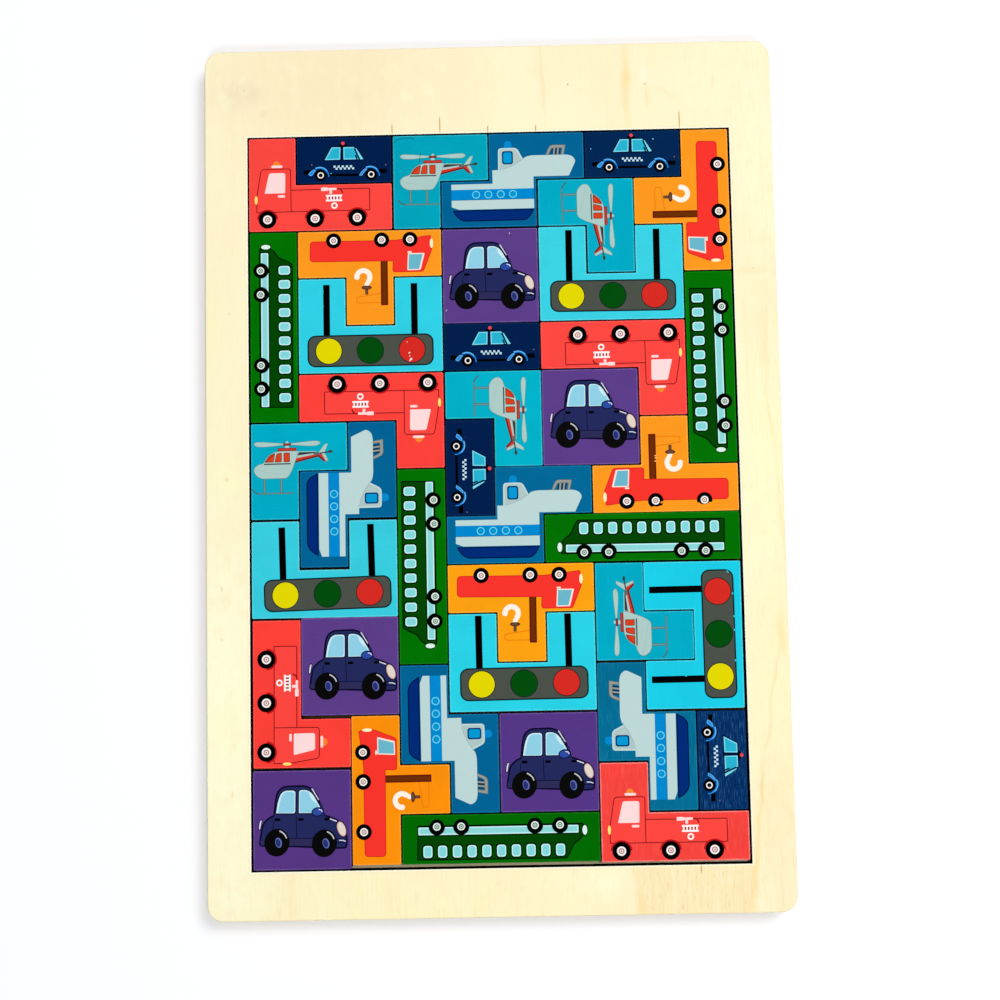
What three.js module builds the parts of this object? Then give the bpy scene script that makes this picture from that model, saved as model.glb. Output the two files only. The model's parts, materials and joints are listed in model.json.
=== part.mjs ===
// A wooden block puzzle: a shallow tray of two glued boards, and forty flat blocks that fill
// its recess as tiles fill a floor. Each block is a few grid squares joined edge to edge.
// Millimetres, +Z up. The origin is under the middle of the tray, and +Y points along the
// tray to its wide margin. Rows count down from that margin and columns count from the left.

import * as THREE from "three";

// Driving dimensions

const CELL_PITCH = 15; // side of one square of the puzzle's grid
const COLUMNS = 10;
const ROWS = 15;
const BLOCK_GAP = 0.4; // free width between two neighbouring blocks
const BLOCK_CORNER_RADIUS = 0.4;
const SHEET_THICKNESS = 5; // the frame and the blocks are cut from the same sheet
const BASE_THICKNESS = 3;
const SIDE_PLAY = 0.45; // how far the recess reaches past the grid, left and right
const TOP_PLAY = 0.3; // the same at the wide margin
const END_PLAY = 1.35; // the same at the narrow margin
const SIDE_MARGIN = 13.3; // frame width left and right of the recess
const TOP_MARGIN = 27.75; // frame width above the recess
const END_MARGIN = 14.55; // frame width below the recess
const TRAY_CORNER_RADIUS = 5;
const OVERCUT_WIDTH = 0.1; // a slit that the cutter left at the recess's edge
const TOP_OVERCUTS = { 3: 3.2, 4: 5.2, 5: 2.2, 6: 2, 9: 5.5 }; // column line: slit length
const END_OVERCUTS = { 9: 2.4 };

const TRAY_CORNER_STEPS = 8;
const BLOCK_CORNER_STEPS = 3;

// Sizes that follow from the driving dimensions

const gridWidth = COLUMNS * CELL_PITCH;
const gridLength = ROWS * CELL_PITCH;
const recessWidth = gridWidth + 2 * SIDE_PLAY;
const recessLength = gridLength + TOP_PLAY + END_PLAY;
const trayWidth = recessWidth + 2 * SIDE_MARGIN;
const trayLength = recessLength + TOP_MARGIN + END_MARGIN;
const recessTop = trayLength / 2 - TOP_MARGIN;
const recessEnd = recessTop - recessLength;
const gridTop = recessTop - TOP_PLAY;
const gridLeft = -gridWidth / 2;

// The eight kinds of block. An outline is in grid squares, counter-clockwise, with the block's
// picture upright. A place is the block's top row, left column, quarter turns to the left, and
// whether the block is a mirror image. slid and shifted are how many gaps the block has crept
// down the recess and to the right of its square.

const KINDS = {
  fire_truck: {
    colour: 0xf94a45,
    outline: [[0, 0], [3, 0], [3, 1], [1, 1], [1, 2], [0, 2]],
    places: [
      { row: 0, column: 0, turns: 0, shifted: -0.4 },
      { row: 4, column: 6, turns: 2 },
      { row: 5, column: 1, turns: 2 },
      { row: 10, column: 0, turns: 3, mirrored: true, slid: 1.5, shifted: 0.4 },
      { row: 13, column: 7, turns: 0, slid: 1 },
    ],
  },
  police_car: {
    colour: 0x06265a,
    outline: [[0, 0], [2, 0], [2, 1], [0, 1]],
    places: [
      { row: 0, column: 1, turns: 0, shifted: -0.4 },
      { row: 0, column: 7, turns: 0 },
      { row: 4, column: 4, turns: 0 },
      { row: 6, column: 4, turns: 3 },
      { row: 12, column: 9, turns: 3, slid: 0.9, shifted: -0.3 },
    ],
  },
  helicopter: {
    colour: 0x06a5c0,
    outline: [[0, 0], [1, 0], [1, 1], [2, 1], [2, 2], [0, 2]],
    places: [
      { row: 0, column: 3, turns: 0 },
      { row: 1, column: 6, turns: 3, shifted: 0.3 },
      { row: 5, column: 4, turns: 3, shifted: 0.4 },
      { row: 6, column: 0, turns: 0, slid: 0.2 },
      { row: 9, column: 7, turns: 1 },
    ],
  },
  ship: {
    colour: 0x05679c,
    outline: [[0, 0], [2, 0], [2, 1], [3, 1], [3, 2], [1, 2], [1, 1], [0, 1]],
    places: [
      { row: 0, column: 4, turns: 0 },
      { row: 6, column: 1, turns: 3, mirrored: true },
      { row: 7, column: 4, turns: 0, slid: -0.5 },
      { row: 11, column: 3, turns: 3 },
      { row: 11, column: 7, turns: 1, slid: 0.7, shifted: -0.3 },
    ],
  },
  crane_truck: {
    colour: 0xfd9a16,
    outline: [[0, 0], [3, 0], [3, 1], [2, 1], [2, 2], [1, 2], [1, 1], [0, 1]],
    places: [
      { row: 2, column: 1, turns: 2 },
      { row: 0, column: 8, turns: 1 },
      { row: 6, column: 7, turns: 0 },
      { row: 9, column: 4, turns: 2, slid: -0.6 },
      { row: 12, column: 2, turns: 3 },
    ],
  },
  bus: {
    colour: 0x04700d,
    outline: [[0, 0], [4, 0], [4, 1], [0, 1]],
    places: [
      { row: 2, column: 0, turns: 3 },
      { row: 3, column: 9, turns: 1 },
      { row: 7, column: 3, turns: 1 },
      { row: 8, column: 6, turns: 0, slid: -0.5 },
      { row: 14, column: 3, turns: 2 },
    ],
  },
  car: {
    colour: 0x573689,
    outline: [[0, 0], [2, 0], [2, 2], [0, 2]],
    places: [
      { row: 2, column: 4, turns: 0, slid: 0.4 },
      { row: 5, column: 6, turns: 0 },
      { row: 10, column: 1, turns: 0 },
      { row: 12, column: 5, turns: 0 },
      { row: 13, column: 0, turns: 0, slid: 2.5 },
    ],
  },
  traffic_light: {
    colour: 0x34cfe4,
    outline: [[0, 0], [3, 0], [3, 2], [2, 2], [2, 1], [1, 1], [1, 2], [0, 2]],
    places: [
      { row: 3, column: 1, turns: 0 },
      { row: 2, column: 6, turns: 0 },
      { row: 8, column: 0, turns: 0, slid: 0.9 },
      { row: 9, column: 8, turns: 1, shifted: -0.5 },
      { row: 10, column: 4, turns: 0, slid: -0.6 },
    ],
  },
};

// Materials

const bareWood = new THREE.MeshStandardMaterial({ color: 0xf6e6bd, roughness: 0.7, metalness: 0 });

function paintedWood(colour) {
  return new THREE.MeshStandardMaterial({ color: colour, roughness: 0.45, metalness: 0 });
}

// The tray

function roundedRectangle(width, length, radius) {
  const right = width / 2 - radius;
  const top = length / 2 - radius;
  const quarter = Math.PI / 2;
  return new THREE.Shape()
    .absarc(right, -top, radius, -quarter, 0)
    .absarc(right, top, radius, 0, quarter)
    .absarc(-right, top, radius, quarter, 2 * quarter)
    .absarc(-right, -top, radius, 2 * quarter, 3 * quarter)
    .closePath();
}

// Points along one end of the recess, from left to right, with a slit that ends in a point at
// each overcut. outward is +1 at the top end and -1 at the narrow end.
function recessEndLine(y, overcuts, outward) {
  const points = [new THREE.Vector2(-recessWidth / 2, y)];
  for (const [column, length] of Object.entries(overcuts)) {
    const x = gridLeft + column * CELL_PITCH;
    const left = x - OVERCUT_WIDTH / 2;
    const right = x + OVERCUT_WIDTH / 2;
    const shoulder = y + outward * (length - OVERCUT_WIDTH);
    points.push(new THREE.Vector2(left, y));
    points.push(new THREE.Vector2(left, shoulder));
    points.push(new THREE.Vector2(x, y + outward * length));
    points.push(new THREE.Vector2(right, shoulder));
    points.push(new THREE.Vector2(right, y));
  }
  points.push(new THREE.Vector2(recessWidth / 2, y));
  return points;
}

function recessPath() {
  const top = recessEndLine(recessTop, TOP_OVERCUTS, 1);
  const end = recessEndLine(recessEnd, END_OVERCUTS, -1).reverse();
  return new THREE.Path([...top, ...end]).closePath();
}

function board(shape, thickness) {
  return new THREE.ExtrudeGeometry(shape, {
    depth: thickness,
    bevelEnabled: false,
    curveSegments: TRAY_CORNER_STEPS,
  });
}

function makeTray() {
  const base = new THREE.Mesh(
    board(roundedRectangle(trayWidth, trayLength, TRAY_CORNER_RADIUS), BASE_THICKNESS),
    bareWood,
  );
  base.name = "tray_base";

  const frameShape = roundedRectangle(trayWidth, trayLength, TRAY_CORNER_RADIUS);
  frameShape.holes.push(recessPath());
  const frame = new THREE.Mesh(board(frameShape, SHEET_THICKNESS), bareWood);
  frame.name = "tray_frame";
  frame.position.z = BASE_THICKNESS;

  return new THREE.Group().add(base, frame);
}

// The blocks

function outlineSize(outline) {
  const [width, height] = [0, 1].map((axis) => Math.max(...outline.map((point) => point[axis])));
  return { width, height };
}

// The outline in millimetres round its own middle, drawn in by half a gap on every side.
function blockCorners({ outline }, mirrored) {
  const { width, height } = outlineSize(outline);
  const points = outline.map(
    ([x, y]) => new THREE.Vector2((x - width / 2) * CELL_PITCH, (y - height / 2) * CELL_PITCH),
  );
  if (mirrored) {
    points.reverse();
    points.forEach((point) => (point.x = -point.x));
  }
  return points.map((corner, i) => {
    const before = points.at(i - 1);
    const after = points[(i + 1) % points.length];
    const arriving = corner.clone().sub(before).normalize();
    const leaving = after.clone().sub(corner).normalize();
    const inward = new THREE.Vector2(-arriving.y - leaving.y, arriving.x + leaving.x);
    const place = corner.clone().addScaledVector(inward, BLOCK_GAP / 2);
    return { place, arriving, leaving };
  });
}

// A closed shape whose outer corners are rounded and whose inner corners stay sharp.
function blockShape(corners) {
  const shape = new THREE.Shape();
  corners.forEach(({ place, arriving, leaving }, i) => {
    if (arriving.cross(leaving) > 0) {
      const centre = place
        .clone()
        .addScaledVector(arriving, -BLOCK_CORNER_RADIUS)
        .addScaledVector(leaving, BLOCK_CORNER_RADIUS);
      const from = leaving.clone().negate().angle();
      shape.absarc(centre.x, centre.y, BLOCK_CORNER_RADIUS, from, from + Math.PI / 2);
    } else if (i === 0) {
      shape.moveTo(place.x, place.y);
    } else {
      shape.lineTo(place.x, place.y);
    }
  });
  return shape.closePath();
}

function makeBlock(kind, place, material) {
  const { row, column, turns, mirrored = false, slid = 0, shifted = 0 } = place;
  const geometry = new THREE.ExtrudeGeometry(blockShape(blockCorners(kind, mirrored)), {
    depth: SHEET_THICKNESS,
    bevelEnabled: false,
    curveSegments: BLOCK_CORNER_STEPS,
  });
  const { width, height } = outlineSize(kind.outline);
  const lyingDown = turns % 2 === 1;
  const columnsAcross = lyingDown ? height : width;
  const rowsDown = lyingDown ? width : height;
  const block = new THREE.Mesh(geometry, material);
  block.position.x = gridLeft + (column + columnsAcross / 2) * CELL_PITCH + shifted * BLOCK_GAP;
  block.position.y = gridTop - (row + rowsDown / 2) * CELL_PITCH - slid * BLOCK_GAP;
  block.rotation.z = (turns * Math.PI) / 2;
  return block;
}

function makeBlocks() {
  const blocks = new THREE.Group();
  blocks.position.z = BASE_THICKNESS;
  for (const [name, kind] of Object.entries(KINDS)) {
    const material = paintedWood(kind.colour);
    kind.places.forEach((place, i) => {
      const block = makeBlock(kind, place, material);
      block.name = `${name}_${i + 1}`;
      blocks.add(block);
    });
  }
  return blocks;
}

const puzzle = new THREE.Group().add(makeTray(), makeBlocks());

export default puzzle;
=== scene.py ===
import json
import math

import bmesh
import bpy
from mathutils import Euler, Matrix, Vector

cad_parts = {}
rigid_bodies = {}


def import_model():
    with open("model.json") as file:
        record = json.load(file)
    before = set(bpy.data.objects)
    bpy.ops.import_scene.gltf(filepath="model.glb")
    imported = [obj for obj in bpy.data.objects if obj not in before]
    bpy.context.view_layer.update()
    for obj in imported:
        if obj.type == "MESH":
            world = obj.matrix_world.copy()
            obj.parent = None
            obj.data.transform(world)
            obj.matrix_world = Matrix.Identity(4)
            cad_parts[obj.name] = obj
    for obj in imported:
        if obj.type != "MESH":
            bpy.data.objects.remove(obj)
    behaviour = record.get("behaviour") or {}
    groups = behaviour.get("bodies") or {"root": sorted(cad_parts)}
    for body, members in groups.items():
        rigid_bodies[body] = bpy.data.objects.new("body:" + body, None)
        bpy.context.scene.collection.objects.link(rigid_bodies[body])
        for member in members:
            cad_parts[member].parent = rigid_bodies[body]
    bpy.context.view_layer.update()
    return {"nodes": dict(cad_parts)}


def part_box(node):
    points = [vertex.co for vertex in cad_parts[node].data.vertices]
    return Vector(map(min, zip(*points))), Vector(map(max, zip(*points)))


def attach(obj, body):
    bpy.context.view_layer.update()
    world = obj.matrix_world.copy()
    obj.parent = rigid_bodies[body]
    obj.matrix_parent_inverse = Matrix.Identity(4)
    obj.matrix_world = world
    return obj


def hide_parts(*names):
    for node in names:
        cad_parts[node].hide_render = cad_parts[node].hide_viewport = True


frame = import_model()

MM = 0.001
CELL = 15 * MM  # side of one square of the puzzle's grid

# Blocks: size of the upright picture in squares, the record's slot, how far the paint pales to
# white along the edges (a painted highlight, patchy like wear), paint colour, and for each block its
# quarter turns to the left, whether it is mirrored, and how its print is off: right and down in
# squares, turned left in degrees.

BLOCK_KINDS = {
    "fire_truck": {
        "size": (3, 2), "slot": "coral_block", "rim": 0.13, "paint": (254, 72, 65),
        "blocks": [
            (0, False, (0.03, 0.02, 0.3)),
            (2, False, (-0.015, 0.00, 0.4)),
            (2, False, (-0.03, 0.07, 0.0)),
            (3, True, (-0.035, 0.005, 0.4)),
            (0, False, (0.05, 0.06, 0.0)),
        ],
    },
    "police_car": {
        "size": (2, 1), "slot": "navy_block", "rim": 0.05, "paint": (0, 30, 76),
        "blocks": [
            (0, False, (0.015, 0.03, 0.0)),
            (0, False, (0.02, -0.01, -0.2)),
            (0, False, (0.005, -0.005, 0.3)),
            (3, False, (0.06, -0.02, 0.0)),
            (3, False, (-0.055, 0.00, 0.5)),
        ],
    },
    "helicopter": {
        "size": (2, 2), "slot": "teal_block", "rim": 0.20, "paint": (0, 171, 198),
        "blocks": [
            (0, False, (0.005, -0.01, 0.0)),
            (3, False, (-0.03, 0.00, 0.5)),
            (3, False, (-0.01, -0.095, 0.0)),
            (0, False, (-0.08, -0.04, 0.4)),
            (1, False, (-0.055, -0.05, 0.2)),
        ],
    },
    "ship": {
        "size": (3, 2), "slot": "blue_block", "rim": 0.11, "paint": (0, 99, 149),
        "blocks": [
            (0, False, (0.03, -0.02, 0.2)),
            (3, True, (0.04, -0.025, 0.0)),
            (0, False, (0.00, 0.005, 0.0)),
            (3, False, (0.035, -0.045, 0.3)),
            (1, False, (0.04, -0.05, -0.2)),
        ],
    },
    "crane_truck": {
        "size": (3, 2), "slot": "orange_block", "rim": 0.19, "paint": (255, 154, 30),
        "blocks": [
            (2, False, (-0.015, 0.01, 0.0)),
            (1, False, (-0.015, -0.01, 0.0)),
            (0, False, (0.03, -0.02, 0.0)),
            (2, False, (0.05, -0.015, -0.3)),
            (3, False, (0.065, -0.02, 0.2)),
        ],
    },
    "bus": {
        "size": (4, 1), "slot": "green_block", "rim": 0.09, "paint": (0, 112, 0),
        "blocks": [
            (3, False, (0.00, -0.015, 0.0)),
            (1, False, (-0.05, -0.02, 0.2)),
            (1, False, (0.06, -0.035, 0.0)),
            (0, False, (-0.005, 0.02, -0.2)),
            (2, False, (0.00, -0.035, 0.0)),
        ],
    },
    "car": {
        "size": (2, 2), "slot": "purple_block", "rim": 0.16, "paint": (92, 61, 137),
        "blocks": [
            (0, False, (-0.035, 0.05, 0.3)),
            (0, False, (-0.005, -0.01, 0.0)),
            (0, False, (-0.01, 0.02, 0.3)),
            (0, False, (-0.045, 0.075, 0.0)),
            (0, False, (-0.045, 0.07, -0.4)),
        ],
    },
    "traffic_light": {
        "size": (3, 2), "slot": "cyan_block", "rim": 0.22, "paint": (47, 208, 229),
        "blocks": [
            (0, False, (-0.025, 0.04, 0.0)),
            (0, False, (0.01, -0.005, -0.3)),
            (0, False, (0.03, 0.015, 1.2)),
            (1, False, (-0.01, 0.025, 0.3)),
            (0, False, (0.005, -0.055, 0.4)),
        ],
    },
}

# Inks

INKS = {
    "black": (0, 0, 0),
    "hub_white": (252, 246, 243),
    "hub_mint": (226, 240, 230),
    "ring_rose": (178, 128, 128),
    "ring_grey": (150, 120, 112),
    "bolt_orange": (206, 150, 104),
    "ring_green": (84, 122, 104),
    "hub_navy": (8, 24, 28),
    "cab_red": (251, 70, 63),
    "outline_red": (126, 16, 22),
    "arch_red": (184, 20, 27),
    "window_pink": (253, 219, 218),
    "beacon_orange": (243, 136, 42),
    "lamp_yellow": (253, 230, 118),
    "gear_white": (254, 244, 242),
    "roof_navy": (0, 18, 56),
    "glass_teal": (39, 177, 206),
    "glass_edge": (124, 220, 238),
    "arch_blue": (32, 138, 224),
    "arch_light": (104, 190, 250),
    "check_white": (196, 228, 240),
    "beacon_red": (226, 72, 72),
    "speck_rose": (150, 104, 112),
    "pale_body": (172, 202, 197),
    "body_line": (86, 136, 136),
    "helicopter_red": (207, 56, 40),
    "red_line": (112, 26, 20),
    "hub_red": (138, 52, 46),
    "glass_red": (214, 64, 32),
    "glass_line": (116, 42, 28),
    "boom_grey": (56, 62, 60),
    "tail_grey": (92, 104, 102),
    "strut_grey": (112, 150, 150),
    "strut_edge": (66, 108, 112),
    "belt_grey": (66, 78, 72),
    "hull_navy": (0, 42, 118),
    "hull_line": (0, 14, 60),
    "ship_pale": (187, 214, 213),
    "cabin_grey": (173, 198, 196),
    "cabin_edge": (196, 218, 217),
    "deck_line": (150, 182, 186),
    "stripe_blue": (0, 135, 206),
    "porthole": (106, 214, 238),
    "porthole_glass": (2, 160, 218),
    "porthole_shade": (4, 138, 202),
    "dome_blue": (4, 135, 204),
    "window_frame": (0, 44, 106),
    "pane_blue": (3, 152, 211),
    "rail_grey": (152, 154, 146),
    "rail_line": (108, 116, 114),
    "rail_dark": (0, 58, 92),
    "truck_red": (246, 52, 44),
    "truck_line": (206, 26, 26),
    "frame_cream": (250, 228, 214),
    "glass_blue": (105, 181, 202),
    "mast_brown": (105, 46, 3),
    "mast_line": (104, 20, 10),
    "hook_cream": (255, 241, 228),
    "headlight": (254, 240, 196),
    "fitting_brown": (108, 74, 56),
    "fitting_line": (62, 30, 25),
    "jib_line": (234, 126, 10),
    "bus_dark": (1, 67, 1),
    "bus_line": (0, 16, 2),
    "pane_pale": (130, 214, 218),
    "pane_rim": (198, 242, 242),
    "stripe_pale": (139, 213, 215),
    "lamp_white": (216, 242, 232),
    "car_navy": (35, 41, 91),
    "car_line": (9, 5, 38),
    "car_sill": (44, 43, 86),
    "glass_sky": (142, 206, 228),
    "glint_soft": (204, 234, 244),
    "shine": (222, 226, 236),
    "lamp_edge": (186, 140, 150),
    "mirror_blue": (44, 74, 160),
    "hub_blue": (40, 48, 114),
    "hub_glint": (98, 112, 182),
    "lamp_cream": (224, 213, 198),
    "tyre_black": (9, 8, 9),
    "tyre_shine": (196, 198, 206),
    "housing_grey": (74, 80, 71),
    "housing_line": (14, 28, 34),
    "signal_yellow": (225, 214, 0),
    "signal_green": (0, 75, 11),
    "signal_red": (212, 42, 34),
    "scratch_teal": (0, 108, 132),
    "chip_white": (232, 214, 206),
    "bare_orange": (255, 154, 30),
    "bare_cyan": (47, 208, 229),
    "dust": (206, 198, 222),
}
INK_NUMBERS = {name: number for number, name in enumerate(INKS)}

INK_SINK = 0.03 * MM  # how far a printed patch reaches down into its block
INK_FIRST = 0.01 * MM  # height of the first patch over the block
INK_STEP = 0.0015 * MM  # each later patch lies this much higher

HUB_RING = (0.66, 0.38)  # outer and inner radius of the thin ring on a hub, as shares of the hub's
HUB_BOLT = 0.22  # radius of the bolt on a hub, as a share of the hub's


def linear(colour):
    """An 8-bit screen colour as the linear colour that a shader takes."""
    shares = [channel / 255 for channel in colour]
    return tuple(c / 12.92 if c <= 0.04045 else ((c + 0.055) / 1.055) ** 2.4 for c in shares)


# Drawing with flat patches. A picture is drawn in squares from the top left of the block's box,
# x to the right and y down. Each patch becomes a thin closed plate, a little higher than the last.


class Picture:
    def __init__(self, size):
        self.size = size
        self.plates = bmesh.new()
        self.patches = 0

    def place(self, x, y):
        width, height = self.size
        return Vector(((x - width / 2) * CELL, (height / 2 - y) * CELL, 0))

    def press(self, shape):
        """Thickens a flat shape and adds it to the picture."""
        top = INK_FIRST + self.patches * INK_STEP
        self.patches += 1
        bmesh.ops.recalc_face_normals(shape, faces=shape.faces[:])
        raised = bmesh.ops.extrude_face_region(shape, geom=shape.faces[:], use_keep_orig=True)
        lifted = [item for item in raised["geom"] if isinstance(item, bmesh.types.BMVert)]
        bmesh.ops.translate(shape, verts=shape.verts[:], vec=(0, 0, -INK_SINK))
        bmesh.ops.translate(shape, verts=lifted, vec=(0, 0, INK_SINK + top))
        bmesh.ops.recalc_face_normals(shape, faces=shape.faces[:])
        passing = bpy.data.meshes.new("patch")
        shape.to_mesh(passing)
        shape.free()
        self.plates.from_mesh(passing)
        bpy.data.meshes.remove(passing)

    def patch(self, corners, ink, line=None, line_width=0.0):
        """A filled outline. A corner is x, y and, if it is rounded, how far back it is cut."""
        shape = bmesh.new()
        points = [shape.verts.new(self.place(corner[0], corner[1])) for corner in corners]
        shape.faces.new(points)
        shape.normal_update()
        for corner, point in zip(corners, points):
            if len(corner) > 2:
                bmesh.ops.bevel(
                    shape, geom=[point], offset=corner[2] * CELL, offset_type="OFFSET",
                    segments=5, profile=0.5, affect="VERTICES", material=-1, clamp_overlap=True,
                )
        for face in shape.faces:
            face.material_index = INK_NUMBERS[ink]
        if line:
            band = bmesh.ops.inset_region(
                shape, faces=shape.faces[:], thickness=line_width * CELL, use_even_offset=True,
                use_boundary=True,
            )
            for face in band["faces"]:
                face.material_index = INK_NUMBERS[line]
        self.press(shape)

    def panel(self, left, top, right, bottom, ink, round_by=0.0, line=None, line_width=0.0):
        """A rectangle with equally rounded corners."""
        corners = [(left, top), (right, top), (right, bottom), (left, bottom)]
        if round_by:
            corners = [(x, y, round_by) for x, y in corners]
        self.patch(corners, ink, line, line_width)

    def framed_panel(self, left, top, right, bottom, round_by, inks, steps):
        """Panels one inside the other, each drawn in by its step."""
        for ink, step in zip(inks, steps):
            self.panel(left + step, top + step, right - step, bottom - step, ink, round_by - step / 2)

    def bar(self, start, end, width, ink):
        """A straight line of the given width."""
        start, end = Vector(start), Vector(end)
        side = (end - start).orthogonal().normalized() * width / 2
        self.patch([start + side, end + side, end - side, start - side], ink)

    def stroke(self, points, width, ink):
        """A bent line through the points."""
        for start, end in zip(points, points[1:]):
            self.bar(start, end, width, ink)
        for x, y in points[1:-1]:
            self.disc(x, y, width / 2, ink, steps=10)

    def disc(self, x, y, radius, ink, tall=None, lean=0.0, steps=28):
        """A disc, or an ellipse where tall is given, leaning to the left by lean degrees."""
        shape = bmesh.new()
        made = bmesh.ops.create_circle(shape, cap_ends=True, segments=steps, radius=radius * CELL)
        stretch = (tall or radius) / radius
        bmesh.ops.scale(shape, verts=made["verts"], vec=(1, stretch, 1))
        turn = Matrix.Rotation(math.radians(lean), 3, "Z")
        bmesh.ops.rotate(shape, verts=made["verts"], cent=(0, 0, 0), matrix=turn)
        bmesh.ops.translate(shape, verts=made["verts"], vec=self.place(x, y))
        for face in shape.faces:
            face.material_index = INK_NUMBERS[ink]
        self.press(shape)

    def arc(self, x, y, outer, inner, start, sweep, ink, steps=18, tall=1.0):
        """Part of a ring round x, y, from start degrees and sweeping to the left."""
        shape = bmesh.new()
        from_ends = [shape.verts.new((radius * CELL, 0, 0)) for radius in (inner, outer)]
        edge = shape.edges.new(from_ends)
        bmesh.ops.rotate(
            shape, verts=from_ends, cent=(0, 0, 0),
            matrix=Matrix.Rotation(math.radians(start), 3, "Z"),
        )
        bmesh.ops.spin(
            shape, geom=[edge, *from_ends], cent=(0, 0, 0), axis=(0, 0, 1),
            angle=math.radians(sweep), steps=steps, use_merge=sweep >= 360,
        )
        bmesh.ops.remove_doubles(shape, verts=shape.verts[:], dist=0.001 * MM)
        bmesh.ops.scale(shape, verts=shape.verts[:], vec=(1, tall, 1))
        bmesh.ops.translate(shape, verts=shape.verts[:], vec=self.place(x, y))
        for face in shape.faces:
            face.material_index = INK_NUMBERS[ink]
        self.press(shape)

    def half_disc(self, x, y, radius, ink, tall=None):
        """The upper half of a disc or ellipse that stands on y."""
        corners = []
        for step in range(13):
            angle = math.pi * step / 12
            corners.append((x + radius * math.cos(angle), y - (tall or radius) * math.sin(angle)))
        self.patch(corners, ink)

    def wheel(self, x, y, tyre, hub, ring_ink, bolt_ink, hub_ink="hub_white"):
        """A tyre with a pale hub, and on the hub a thin ring and a bolt."""
        self.disc(x, y, tyre, "black", steps=36)
        self.disc(x, y, hub, hub_ink)
        outer, inner = HUB_RING
        self.arc(x, y, hub * outer, hub * inner, 0, 360, ring_ink, 20)
        self.disc(x, y, hub * HUB_BOLT, bolt_ink, steps=10)


def draw_fire_truck(pic):
    line, line_width = "outline_red", 0.018
    cab = [(0.133, 1.562), (0.133, 1.225, 0.05), (0.235, 0.630, 0.07), (0.864, 0.630, 0.06),
           (0.864, 1.562)]
    pic.patch(cab, "cab_red", line, line_width)
    pic.panel(0.846, 1.085, 2.504, 1.562, "cab_red", 0.025, line, line_width)
    pic.half_disc(0.561, 0.568, 0.080, "beacon_orange", 0.095)
    pic.panel(0.450, 0.561, 0.684, 0.613, "window_pink", 0.024)
    pic.patch([(0.306, 1.155, 0.02), (0.408, 0.724, 0.04), (0.744, 0.724, 0.05), (0.734, 1.155, 0.02)],
              "window_pink")
    pic.panel(0.580, 1.196, 0.732, 1.246, "window_pink", 0.022)
    pic.disc(0.128, 1.290, 0.030, "lamp_yellow", 0.090)

    # A plain water cannon, a ladder and a ring
    pic.panel(1.483, 1.054, 1.630, 1.130, "window_pink", 0.020)
    pic.panel(1.610, 1.066, 1.808, 1.115, "window_pink", 0.012)
    pic.panel(1.658, 1.110, 1.713, 1.190, "window_pink")
    pic.stroke([(1.832, 1.085), (1.895, 1.105), (1.935, 1.175)], 0.026, line)
    ladder_left, ladder_right = 1.583, 1.923
    pic.panel(ladder_left + 0.03, 1.23, ladder_right - 0.03, 1.33, "arch_red")
    for rail in (1.214, 1.316):
        pic.panel(ladder_left, rail, ladder_right, rail + 0.037, "gear_white", 0.01)
    for rung in range(5):
        left = ladder_left + 0.022 + rung * 0.066
        pic.panel(left, 1.24, left + 0.032, 1.33, "gear_white")
    pic.arc(1.758, 1.445, 0.068, 0.035, 0, 360, "gear_white", 20)

    for x in (0.362, 1.353, 2.232):
        pic.half_disc(x, 1.70, 0.218, "arch_red", 0.206)
        pic.wheel(x, 1.710, 0.185, 0.093, "ring_rose", "ring_rose")


def draw_police_car(pic):
    pic.patch([(0.545, 0.484), (0.715, 0.172, 0.03), (1.222, 0.172, 0.03), (1.408, 0.484)], "roof_navy")
    edge, edge_width = "glass_edge", 0.021
    rear_window = [(0.584, 0.462), (0.730, 0.195), (0.914, 0.195), (0.904, 0.458)]
    front_window = [(0.976, 0.458), (0.974, 0.195), (1.196, 0.195), (1.320, 0.458)]
    for window in (rear_window, front_window):
        pic.patch(window, "glass_teal", edge, edge_width)
    pic.patch([(1.214, 0.220), (1.246, 0.228), (1.388, 0.458), (1.330, 0.464)], "glass_edge")
    pic.bar((1.206, 0.222), (1.314, 0.476), 0.034, "roof_navy")
    pic.bar((1.226, 0.364), (1.260, 0.466), 0.030, "roof_navy")
    pic.patch([(0.862, 0.178), (0.906, 0.128), (1.028, 0.128), (1.074, 0.178)], "black")
    pic.disc(0.966, 0.113, 0.039, "beacon_red", 0.037, steps=18)
    pic.panel(0.140, 0.674, 0.300, 0.762, "black", 0.015)
    pic.panel(1.710, 0.670, 1.876, 0.760, "black", 0.015)
    pic.panel(0.660, 0.764, 1.330, 0.812, "black")
    check = 0.043
    for row in range(2):
        for step in range(5):
            left = 0.765 + (2 * step + row) * check
            top = 0.585 + row * check
            pic.panel(left, top, left + check, top + check, "check_white")
    for x in (0.474, 1.528):
        pic.arc(x, 0.808, 0.200, 0.166, 24, 94, "arch_blue", 20)
        pic.arc(x, 0.808, 0.200, 0.180, -4, 30, "arch_blue", 8)
        pic.arc(x, 0.808, 0.203, 0.186, 40, 76, "arch_light", 18)
    pic.patch([(0.236, 0.772, 0.02), (0.266, 0.718, 0.03), (0.350, 0.656, 0.03), (0.398, 0.668, 0.02),
               (0.358, 0.730, 0.03), (0.306, 0.798, 0.02)], "arch_blue", "arch_light", 0.012)
    pic.patch([(1.294, 0.806, 0.02), (1.340, 0.732, 0.03), (1.424, 0.652, 0.03), (1.474, 0.668, 0.02),
               (1.396, 0.745, 0.03), (1.360, 0.808, 0.02)], "arch_blue", "arch_light", 0.012)
    for x in (0.496, 1.550):
        pic.disc(x, 0.786, 0.122, "black", steps=32)
        pic.disc(x, 0.786, 0.066, "hub_white")
        pic.disc(x, 0.786, 0.044, "hub_navy", steps=18)
    pic.disc(1.856, 0.588, 0.013, "speck_rose", steps=10)


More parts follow.
